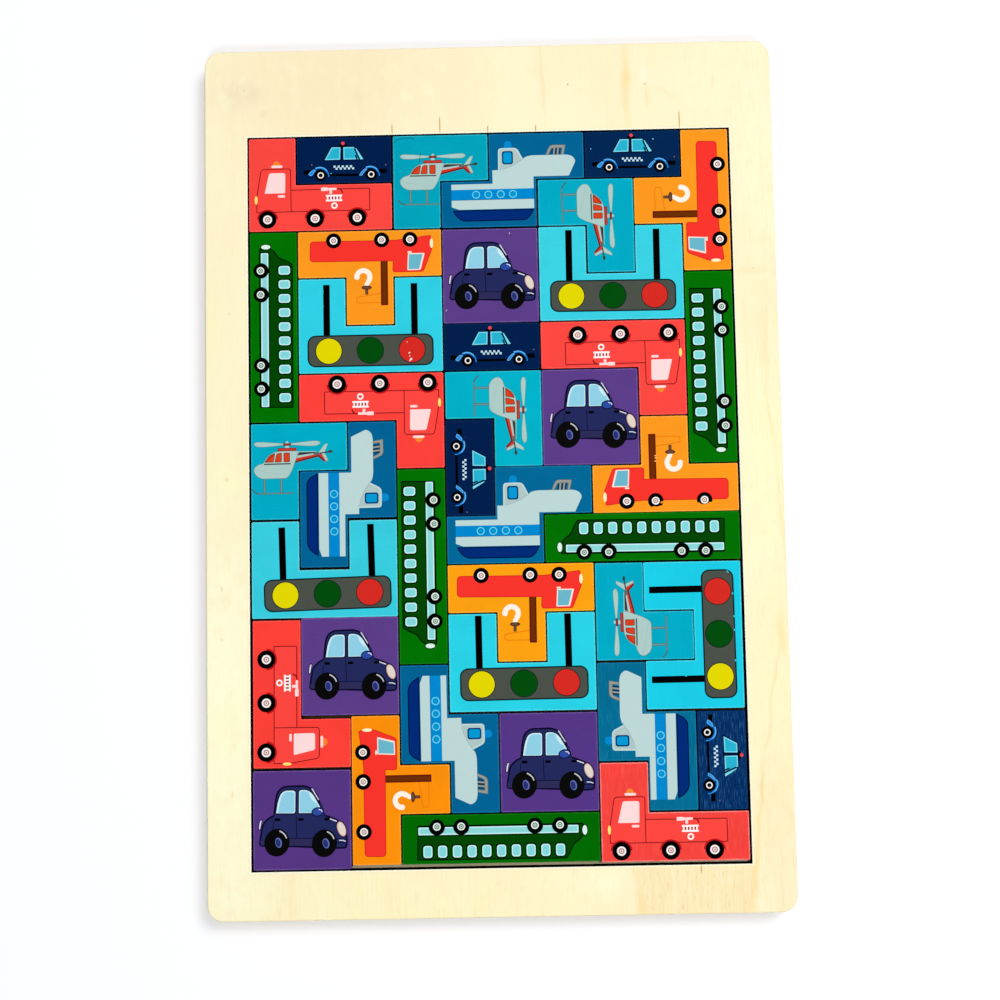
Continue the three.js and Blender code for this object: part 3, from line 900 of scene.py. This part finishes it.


def make_veneer(name, tones, marks, face):
    """Pale bare veneer with upright fibres. The tones and marks are soft spots on it."""
    finish = Finish(name, 0.62, 0.10)
    millimetres = finish.objects((1000, 1000, 0))
    drift = finish.add("ShaderNodeVectorMath", {
        0: finish.noise(finish.objects((170, 120, 0)), output="Color"), 1: (0.5, 0.5, 0.5),
    }, operation="SUBTRACT").outputs["Vector"]
    wander = finish.add("ShaderNodeVectorMath", {0: drift, "Scale": 2.6}, operation="SCALE").outputs[0]
    place = finish.add("ShaderNodeVectorMath", {0: millimetres, 1: wander}, operation="ADD").outputs[0]
    broad = finish.ramp(finish.noise(finish.objects((22, 11, 22)), detail=2.0), 0.35, 0.65)
    colour = finish.mix(broad, linear(WOOD_CREAM), linear(WOOD_PALE))
    for middle, half_size, tilt, tone, strength in tones:
        colour = finish.mix(finish.spot(place, middle, half_size, tilt, strength), colour, linear(tone))
    contrast = 0.8
    if face:
        split = finish.add("ShaderNodeSeparateXYZ", {0: place})
        right = finish.ramp(split.outputs["X"], *RIGHT_SIDE, 0.45)
        lower = finish.ramp(split.outputs["Y"], *LOWER_END, 0.55)
        across, down = COARSE_FROM
        coarse = finish.maths("MULTIPLY", finish.ramp(split.outputs["X"], *across),
                              finish.ramp(split.outputs["Y"], *down))
        coarse = finish.maths("MULTIPLY", coarse, finish.ramp(split.outputs["X"], *COARSE_TO))
        colour = finish.mix(finish.maths("MULTIPLY", coarse, 0.80), colour, linear(WOOD_AMBER))
        flecks = finish.ramp(finish.noise(finish.objects((1500, 330, 1500))), 0.60, 0.74, 0.65)
        colour = finish.mix(finish.maths("MULTIPLY", flecks, coarse), colour, linear(WOOD_TAN))
        sides = finish.maths("ADD", finish.maths("ADD", right, lower), 0.60)
        contrast = finish.maths("ADD", sides, finish.maths("MULTIPLY", coarse, 0.8))

    def streaks(scale, dark, light, strength, tone, pale):
        pattern = finish.noise(finish.objects(scale), detail=3.0, rough=0.6)
        darker = finish.maths("MULTIPLY", finish.ramp(pattern, *dark, strength), contrast)
        lighter = finish.maths("MULTIPLY", finish.ramp(pattern, *light, strength * 0.7), contrast)
        return finish.mix(lighter, finish.mix(darker, colour, linear(tone)), linear(pale)), pattern

    colour, _ = streaks((230, 12, 230), (0.55, 0.78), (0.45, 0.25), 0.22, WOOD_GRAIN, WOOD_WHITE)
    colour, _ = streaks((420, 260, 420), (0.54, 0.76), (0.46, 0.26), 0.16, WOOD_GRAIN, WOOD_WHITE)
    colour, fibres = streaks((2300, 130, 2300), (0.52, 0.76), (0.48, 0.24), 0.28, WOOD_GRAIN, WOOD_WHITE)
    colour, _ = streaks((1700, 700, 1700), (0.58, 0.80), (0.42, 0.22), 0.22, WOOD_GRAIN, WOOD_WHITE)
    pores = finish.noise(finish.objects((2600, 420, 2600)), detail=1.0)
    colour = finish.mix(finish.maths("MULTIPLY", finish.ramp(pores, 0.70, 0.82, 0.22), contrast),
                        colour, linear(WOOD_TAN))
    for middle, half_size, tilt, tone, strength in marks:
        colour = finish.mix(finish.spot(place, middle, half_size, tilt, strength), colour, linear(tone))
    if face:
        for x, start, end in SLIT_STAINS:
            middle = (x, (start + end) / 2)
            stain = finish.spot(millimetres, middle, (0.55, abs(end - start) * 0.8), 0, 0.75)
            colour = finish.mix(stain, colour, linear(WOOD_TAN))
        off_middle = finish.add("ShaderNodeVectorMath", {
            0: millimetres, 1: (*RECESS_MIDDLE, 0),
        }, operation="SUBTRACT")
        away = finish.add("ShaderNodeVectorMath", {0: off_middle.outputs["Vector"]}, operation="ABSOLUTE")
        past = finish.add("ShaderNodeVectorMath", {
            0: away.outputs["Vector"], 1: (*RECESS_HALF, 0),
        }, operation="SUBTRACT")
        beyond = finish.add("ShaderNodeSeparateXYZ", {0: past.outputs["Vector"]}).outputs
        from_recess = finish.maths("MAXIMUM", beyond["X"], beyond["Y"])
        # Next to the recess: a peach band, then at the very edge a white band, a painted highlight of the
        # lip
        colour = finish.mix(finish.ramp(from_recess, 1.3, 0.5, 0.35), colour, linear(WOOD_PEACH))
        colour = finish.mix(finish.ramp(from_recess, 0.55, 0.25, 0.95), colour, linear(WOOD_WHITE))
    # Painted shade: the rounded outer edge of the tray turns darker honey
    rim = finish.maths("MULTIPLY", finish.attribute("rim", "Fac"), 0.5)
    finish.colour(finish.mix(rim, colour, linear(WOOD_EDGE_SHADE)))
    finish.bump(fibres, 0.10, 0.05 * MM)
    return finish.material


def make_ply_edge(name, light, dark, glue, roughness, char_and_shade):
    """Sawn plywood: layers one above the other, every other one showing its end grain."""
    finish = Finish(name, roughness, 0.0 if char_and_shade else 0.1)
    layer = finish.add("ShaderNodeSeparateXYZ", {0: finish.objects((1000, 1000, 1000))}).outputs["Z"]
    waver = finish.maths("MULTIPLY", finish.noise(finish.objects((90, 90, 400))), 0.22)
    height = finish.maths("PINGPONG", finish.maths("ADD", layer, waver), 1.0)
    along = finish.noise(finish.objects((350, 350, 4500)), detail=3.0)
    across = finish.noise(finish.objects((2600, 2600, 1800)))
    other = finish.ramp(height, 0.42, 0.58)
    colour = finish.mix(other, linear(light), linear(dark))
    grain = finish.maths("MULTIPLY", finish.ramp(across, 0.45, 0.75, 0.5), other)
    colour = finish.mix(grain, colour, linear(glue))
    colour = finish.mix(finish.ramp(along, 0.5, 0.8, 0.25), colour, linear(dark))
    seam = finish.ramp(finish.maths("ABSOLUTE", finish.maths("SUBTRACT", height, 0.5)), 0.10, 0.03, 0.55)
    colour = finish.mix(seam, colour, linear(glue))
    # Scorch blotches, darkened further as painted shade for the gaps between blocks
    if char_and_shade:
        char_and_shade_mask = finish.ramp(finish.noise(finish.objects((700, 700, 60))), 0.40, 0.75, char_and_shade)
        colour = finish.mix(char_and_shade_mask, colour, linear(CUT_DARK))
    finish.colour(colour)
    finish.bump(across, 0.25, 0.05 * MM)
    return finish.material


def make_painted_shade_floor():
    """Painted shade: brown fibred floor for the shaded gaps between blocks, and pale wood at the lower end.
    """
    finish = Finish("shaded_recess_floor", 0.85, 0.0)
    broad = finish.ramp(finish.noise(finish.objects((30, 14, 30))), 0.35, 0.65)
    colour = finish.mix(broad, linear(RECESS_SHADE_BROWN), linear(RECESS_SHADE_UMBER))
    fibres = finish.noise(finish.objects((2100, 120, 2100)), detail=3.0, rough=0.6)
    colour = finish.mix(finish.ramp(fibres, 0.50, 0.75, 0.55), colour, linear(PLY_GLUE))
    colour = finish.mix(finish.ramp(fibres, 0.48, 0.26, 0.45), colour, linear(CUT_LIGHT))
    pale = finish.mix(finish.ramp(fibres, 0.45, 0.75, 0.3), linear(WOOD_CREAM), linear(WOOD_TAN))
    down = finish.add("ShaderNodeSeparateXYZ", {0: finish.objects((1000, 1000, 1000))}).outputs["Y"]
    finish.colour(finish.mix(finish.ramp(down, *SHADE_END), colour, pale))
    finish.bump(fibres, 0.20, 0.05 * MM)
    return finish.material


PAINT_DUST = (222, 220, 214)


def make_paint(name, paint, rim, streak=None, grain=0.3, along=(2.6, 60.0)):
    """Satin paint that lets the wood's fibres through; a painted highlight pales the block's edges in
    patches.
    """
    finish = Finish(name, 0.5, 0.008)
    deep = tuple(channel * 0.965 for channel in paint)
    light = tuple(min(255, channel * 1.04 + 5) for channel in paint)
    # pale: the colour of the painted highlight along the block's edges
    pale = tuple(channel + (255 - channel) * rim for channel in paint)
    cloud = finish.ramp(finish.noise(finish.picture((1.3, 1.3, 1.0)), detail=3.0), 0.30, 0.70)
    colour = finish.mix(cloud, linear(deep), linear(paint))
    fibres = finish.noise(finish.picture((*along, 1.0)), detail=3.0, rough=0.6)
    colour = finish.mix(finish.ramp(fibres, 0.50, 0.70, grain), colour, linear(streak or light))
    colour = finish.mix(finish.ramp(fibres, 0.48, 0.26, grain), colour, linear(deep))
    mottle = finish.noise(finish.picture((34.0, 34.0, 1.0)), detail=3.0, rough=0.65)
    colour = finish.mix(finish.ramp(mottle, 0.50, 0.80, 0.50), colour, linear(deep))
    colour = finish.mix(finish.ramp(mottle, 0.50, 0.22, 0.50), colour, linear(light))
    dust = finish.noise(finish.picture((58.0, 58.0, 1.0)), detail=1.0)
    colour = finish.mix(finish.ramp(dust, 0.80, 0.83, 0.40), colour, linear(PAINT_DUST))
    # Painted highlight: the eased edges and the strip inside them pale in patches, patchy like wear
    highlight_and_wear_patches = finish.ramp(finish.noise(finish.picture((4.0, 4.0, 1.0)), detail=3.0), 0.15, 0.60)
    highlit_and_worn_edge = finish.maths("MULTIPLY", finish.attribute("eased", "Fac"), highlight_and_wear_patches)
    finish.colour(finish.mix(highlit_and_worn_edge, colour, linear(pale)))
    sheen = finish.add("ShaderNodeMapRange", {"Value": fibres, "To Min": 0.44, "To Max": 0.56})
    finish.rough(sheen.outputs["Result"])
    finish.bump(fibres, 0.10, 0.04 * MM)
    return finish.material


INK_BRIGHT = (0.75, 0.75, 0.73)  # linear colours that lighten or deepen the ink under them
INK_DULL = (0.30, 0.30, 0.31)


def make_ink():
    """Satin printing ink in the colour that each patch carries, slightly mottled."""
    finish = Finish("printed_ink", 0.48, 0.008)
    ink = finish.attribute("ink", "Color")
    mottle = finish.noise(finish.objects((1300, 1300, 1300)), detail=3.0, rough=0.6)
    colour = finish.mix(finish.ramp(mottle, 0.45, 0.75, 0.12), ink, INK_BRIGHT, "SOFT_LIGHT")
    colour = finish.mix(finish.ramp(mottle, 0.50, 0.25, 0.12), colour, INK_DULL, "SOFT_LIGHT")
    finish.colour(colour)
    finish.bump(mottle, 0.06, 0.03 * MM)
    return finish.material


face_veneer = make_veneer("face_veneer", FACE_TONES, FACE_MARKS, True)
back_veneer = make_veneer("back_veneer", [], [], False)
tray_edge = make_ply_edge("sanded_ply_edge", PLY_LIGHT, PLY_DARK, PLY_GLUE, 0.7, 0.0)
shaded_recess_floor = make_painted_shade_floor()
shaded_cut_side = make_ply_edge("sawn_side_with_painted_shade", CUT_LIGHT, CUT_DARK, CUT_DARK, 0.85, 0.75)
ink_finish = make_ink()

# The tray and the blocks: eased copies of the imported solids

TRAY_EASE = 0.4 * MM
LIP_EASE = 0.12 * MM
BLOCK_EASE = 0.11 * MM
RIM_BAND = 0.26 * MM  # strip of painted highlight on the painted face, inside its eased edge
BAND_SHARE = 0.80  # how strong that painted highlight is, next to the eased edge
TRAY_RIM = 10 * MM  # nearer to the tray's outside than this, an edge belongs to its rim
SLIT_EDGE = 6 * MM  # shorter edges than this, beside the recess, belong to its slits
PATTERN_SHIFT = (7.3, 3.1)  # squares that the paint's pattern moves on from block to block

# How far a face looks up or down, from 0 on an upright side to 1 on a level face

LEVEL = 0.999
NEARLY_LEVEL = 0.9
HALF_WAY = 0.5
NEARLY_UPRIGHT = 0.3
SLOPED = 0.2
SQUARE_ON = 0.9999  # how far a side looks straight along the tray or across it

# The order of the materials on a board and on a block

BOARD_FACE, BOARD_EDGE, BOARD_CUT, BOARD_FLOOR = range(4)
BLOCK_PAINT, BLOCK_SIDE, BLOCK_BACK = range(3)


def solid_copy(node):
    """The node's solid with its triangles merged back into flat faces."""
    shape = bmesh.new()
    shape.from_mesh(frame["nodes"][node].data)
    bmesh.ops.remove_doubles(shape, verts=shape.verts[:], dist=0.001 * MM)
    bmesh.ops.dissolve_limit(
        shape, angle_limit=math.radians(0.5), verts=shape.verts[:], edges=shape.edges[:],
    )
    return shape


def rim_edges(shape, upward):
    """Edges between a flat face that looks up, or down, and the upright sides below or above it."""
    found = []
    for edge in shape.edges:
        tilts = sorted(abs(face.normal.z) for face in edge.link_faces)
        flat = max(edge.link_faces, key=lambda face: abs(face.normal.z))
        if len(tilts) == 2 and tilts[0] < HALF_WAY < tilts[1] and (flat.normal.z > 0) == upward:
            found.append(edge)
    return found


def ease(shape, edges, offset, segments):
    """Rounds the edges and gives back the new faces."""
    made = bmesh.ops.bevel(
        shape, geom=edges, offset=offset, offset_type="OFFSET", segments=segments, profile=0.5,
        affect="EDGES", material=-1, clamp_overlap=True,
    )
    for face in made["faces"]:
        face.smooth = True
    return made["faces"]


def finished_piece(name, shape, materials, body, node=None):
    """Makes the shape an object that rides on the body and, if a node is given, takes its place."""
    mesh = bpy.data.meshes.new(name)
    shape.to_mesh(mesh)
    shape.free()
    for material in materials:
        mesh.materials.append(material)
    piece = bpy.data.objects.new(name, mesh)
    bpy.context.scene.collection.objects.link(piece)
    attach(piece, body)
    if node:
        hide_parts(node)
    return piece


def make_board(node, name, face_up, eased_up):
    """A board of the tray. Its outer rim is eased above or below, and a recess gets a soft lip."""
    low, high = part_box(node)
    shape = solid_copy(node)
    rim_mark = shape.faces.layers.float.new("rim")

    def near_outside(point):
        return min(point.x - low.x, high.x - point.x, point.y - low.y, high.y - point.y) < TRAY_RIM

    def middle(edge):
        return (edge.verts[0].co + edge.verts[1].co) / 2

    edges = rim_edges(shape, eased_up)
    outer = [edge for edge in edges if near_outside(middle(edge))]
    inner = [edge for edge in edges if not near_outside(middle(edge)) and edge.calc_length() > SLIT_EDGE]
    for face in ease(shape, outer, TRAY_EASE, 4):
        face[rim_mark] = 1.0
    if inner:
        ease(shape, inner, LIP_EASE, 2)
    for face in shape.faces:
        face.material_index = BOARD_FACE
        if face_up is back_veneer and face.normal.z > NEARLY_LEVEL:
            face.material_index = BOARD_FLOOR
        elif abs(face.normal.z) < NEARLY_UPRIGHT and not face.smooth:
            along_frame = max(abs(face.normal.x), abs(face.normal.y)) > SQUARE_ON
            long_side = max(edge.calc_length() for edge in face.edges) > SLIT_EDGE
            outside = near_outside(face.calc_center_median())
            recess_wall = along_frame and long_side and not outside
            face.material_index = BOARD_CUT if recess_wall else BOARD_EDGE
    materials = [face_up, tray_edge, shaded_cut_side, shaded_recess_floor]
    return finished_piece(name, shape, materials, "tray", node)


make_board("tray_base", "backing_board", back_veneer, False)
make_board("tray_frame", "recess_frame", face_veneer, True)


def block_place(node, turns, mirrored):
    """From picture coordinates round the block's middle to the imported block's top face."""
    low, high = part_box(node)
    middle = Vector(((low.x + high.x) / 2, (low.y + high.y) / 2, high.z))
    flip = Matrix.Diagonal((-1 if mirrored else 1, 1, 1, 1))
    return Matrix.Translation(middle) @ Matrix.Rotation(turns * math.pi / 2, 4, "Z") @ flip


def block_body(node):
    """The body that carries a block."""
    kind, number = node.rsplit("_", 1)
    return f"{kind}_block_{number}"


def make_block(node, number, place, paint):
    """A block with eased edges, a painted face, sides scorched and darkened further as painted shade, and a
    bare back.
    """
    shape = solid_copy(node)
    eased = shape.faces.layers.float.new("eased")
    # The eased top edges and a strip inside them carry the paint's painted highlight
    for face in ease(shape, rim_edges(shape, True), BLOCK_EASE, 3):
        face[eased] = 1.0
    ease(shape, rim_edges(shape, False), BLOCK_EASE, 2)
    painted = [face for face in shape.faces if face.normal.z > LEVEL]
    band = bmesh.ops.inset_region(shape, faces=painted, thickness=RIM_BAND, use_even_offset=True)
    for face in band["faces"]:
        face[eased] = BAND_SHARE
    picture = shape.loops.layers.uv.new("picture")
    inverse = place.inverted()
    shift_right, shift_up = PATTERN_SHIFT
    for face in shape.faces:
        face.material_index = BLOCK_SIDE
        if face.normal.z > SLOPED:
            face.material_index = BLOCK_PAINT
        elif face.normal.z < -SLOPED:
            face.material_index = BLOCK_BACK
        for loop in face.loops:
            local = inverse @ loop.vert.co / CELL
            loop[picture].uv = (local.x + shift_right * number, local.y + shift_up * number)
    materials = [paint, shaded_cut_side, back_veneer]
    return finished_piece(f"{node}_block", shape, materials, block_body(node), node)


def make_print(node, picture, place, off):
    """A block's picture, put on its face with the print's own small error."""
    right, down, turned = off
    shape = picture.plates.copy()
    shift = Matrix.Translation((right * CELL, -down * CELL, 0))
    turn = Matrix.Rotation(math.radians(turned), 4, "Z")
    bmesh.ops.transform(shape, matrix=place @ shift @ turn, verts=shape.verts[:])
    bmesh.ops.recalc_face_normals(shape, faces=shape.faces[:])
    colours = [(*linear(colour), 1) for colour in INKS.values()]
    ink = shape.loops.layers.float_color.new("ink")
    for face in shape.faces:
        for loop in face.loops:
            loop[ink] = colours[face.material_index]
        face.material_index = 0
    return finished_piece(f"{node}_print", shape, [ink_finish], block_body(node))


# Blocks from other batches of paint, and what differs on them: the colour, how far it pales to
# white along the edges as a painted highlight, the fibres' colour, how strongly these show, and
# how many there are to a square, along the picture and up

BATCHES = {
    "police_car_5": {
        "paint": (0, 43, 96), "streak": (44, 100, 158), "grain": 0.95, "along": (4.5, 64.0),
    },
    "fire_truck_5": {
        "paint": (249, 67, 61), "rim": 0.40, "streak": (255, 98, 90), "grain": 0.70, "along": (60.0, 2.6),
    },
    "fire_truck_3": {"paint": (255, 66, 58)},
    "fire_truck_4": {"paint": (255, 65, 56)},
    "police_car_2": {"paint": (0, 37, 82)},
    "helicopter_1": {"paint": (0, 164, 188)},
    "helicopter_3": {"paint": (0, 177, 201)},
    "ship_3": {"paint": (0, 104, 152)},
    "ship_5": {"paint": (0, 107, 147), "streak": (30, 130, 164), "grain": 0.70},
    "crane_truck_4": {"paint": (255, 162, 16)},
    "crane_truck_5": {"paint": (255, 145, 10)},
    "bus_5": {"paint": (0, 104, 0)},
    "car_4": {"paint": (84, 54, 134)},
    "car_5": {"paint": (86, 54, 131)},
    "traffic_light_2": {"paint": (58, 210, 229)},
    "traffic_light_3": {"paint": (56, 206, 225)},
    "traffic_light_4": {"paint": (26, 206, 232)},
    "traffic_light_5": {"paint": (41, 211, 231)},
}


def drawn(kind, node=None):
    """The picture of a kind of block, with the damage of a single block if that is given."""
    picture = Picture(BLOCK_KINDS[kind]["size"])
    DRAWINGS[kind](picture)
    if node:
        DAMAGE[node](picture)
    return picture


block_number = 0
for kind, facts in BLOCK_KINDS.items():
    common_picture = drawn(kind)
    usual = {"paint": facts["paint"], "rim": facts["rim"]}
    common_paint = make_paint(f"{kind}_paint", **usual)
    for index, (turns, mirrored, off) in enumerate(facts["blocks"]):
        block_number += 1
        node = f"{kind}_{index + 1}"
        place = block_place(node, turns, mirrored)
        paint = common_paint
        if node in BATCHES:
            paint = make_paint(f"{node}_paint", **{**usual, **BATCHES[node]})
        make_block(node, block_number, place, paint)
        if node in DAMAGE:
            own_picture = drawn(kind, node)
            make_print(node, own_picture, place, off)
            own_picture.plates.free()
        else:
            make_print(node, common_picture, place, off)
    common_picture.plates.free()

# Floor, light and camera

FLOOR_REACH = 4.0  # metres from the middle
FLOOR_DROP = 0.1 * MM  # how far the floor lies below the tray
FLOOR_WHITE = (0.882, 0.897, 0.925)
BACKDROP_LIFT = 0.12
SKY_LIGHT = 0.31
SOFTBOXES = {  # place and side in metres, and watts
    "key_softbox": ((0.92, 0.85, 1.90), 0.9, 20.85),
    "front_softbox": ((0.15, -1.20, 1.90), 0.4, 9.15),
    "top_softbox": ((0.35, 0.15, 2.00), 0.2, 9.65),
}
CAMERA_PLACE = (5.15, -46.18, 466.9)  # millimetres
CAMERA_TURN = (4.65, 0.53, -1.10)  # degrees
LENS_LENGTH = 54  # millimetres
SENSOR_WIDTH = 36

floor_shape = bmesh.new()
bmesh.ops.create_grid(floor_shape, x_segments=1, y_segments=1, size=FLOOR_REACH)
floor_mesh = bpy.data.meshes.new("floor")
floor_shape.to_mesh(floor_mesh)
floor_shape.free()
floor = bpy.data.objects.new("floor", floor_mesh)
floor.location.z = -FLOOR_DROP
bpy.context.scene.collection.objects.link(floor)

floor_finish = Finish("white_floor", 0.9, 0.0)
floor_finish.shader.inputs["Base Color"].default_value = (*FLOOR_WHITE, 1)
floor_finish.shader.inputs["Emission Color"].default_value = (1, 1, 1, 1)


def seen_directly(finish):
    """1 for the camera and for mirror and glass rays, and 0 for the light that falls on things."""
    rays = finish.add("ShaderNodeLightPath").outputs
    seen = finish.maths("MAXIMUM", rays["Is Camera Ray"], rays["Is Glossy Ray"])
    return finish.maths("MAXIMUM", seen, rays["Is Transmission Ray"])


floor_lift = floor_finish.maths("MULTIPLY", seen_directly(floor_finish), BACKDROP_LIFT)
floor_finish.links.new(floor_lift, floor_finish.shader.inputs["Emission Strength"])
floor_mesh.materials.append(floor_finish.material)

world = bpy.data.worlds.new("studio")
bpy.context.scene.world = world
world.use_nodes = True
backdrop = world.node_tree.nodes["Background"]
backdrop.inputs["Color"].default_value = (1, 1, 1, 1)
rays = world.node_tree.nodes.new("ShaderNodeLightPath")
sky = world.node_tree.nodes.new("ShaderNodeMapRange")
sky.inputs["To Min"].default_value = SKY_LIGHT
sky.inputs["To Max"].default_value = 1.0
world.node_tree.links.new(rays.outputs["Is Camera Ray"], sky.inputs["Value"])
world.node_tree.links.new(sky.outputs["Result"], backdrop.inputs["Strength"])


def softbox(name, place, size, watts):
    """A square lamp that looks at the middle of the tray."""
    lamp = bpy.data.lights.new(name, "AREA")
    lamp.shape = "SQUARE"
    lamp.size = size
    lamp.energy = watts
    holder = bpy.data.objects.new(name, lamp)
    holder.location = place
    holder.rotation_euler = (-Vector(place)).to_track_quat("-Z", "Y").to_euler()
    bpy.context.scene.collection.objects.link(holder)


for lamp_name, (lamp_place, lamp_size, lamp_watts) in SOFTBOXES.items():
    softbox(lamp_name, lamp_place, lamp_size, lamp_watts)

lens = bpy.data.cameras.new("camera")
lens.sensor_width = SENSOR_WIDTH
lens.lens = LENS_LENGTH
camera = bpy.data.objects.new("camera", lens)
camera.location = [distance * MM for distance in CAMERA_PLACE]
camera.rotation_euler = Euler([math.radians(angle) for angle in CAMERA_TURN])
bpy.context.scene.collection.objects.link(camera)
bpy.context.scene.camera = camera

bpy.context.scene.view_settings.view_transform = "Standard"
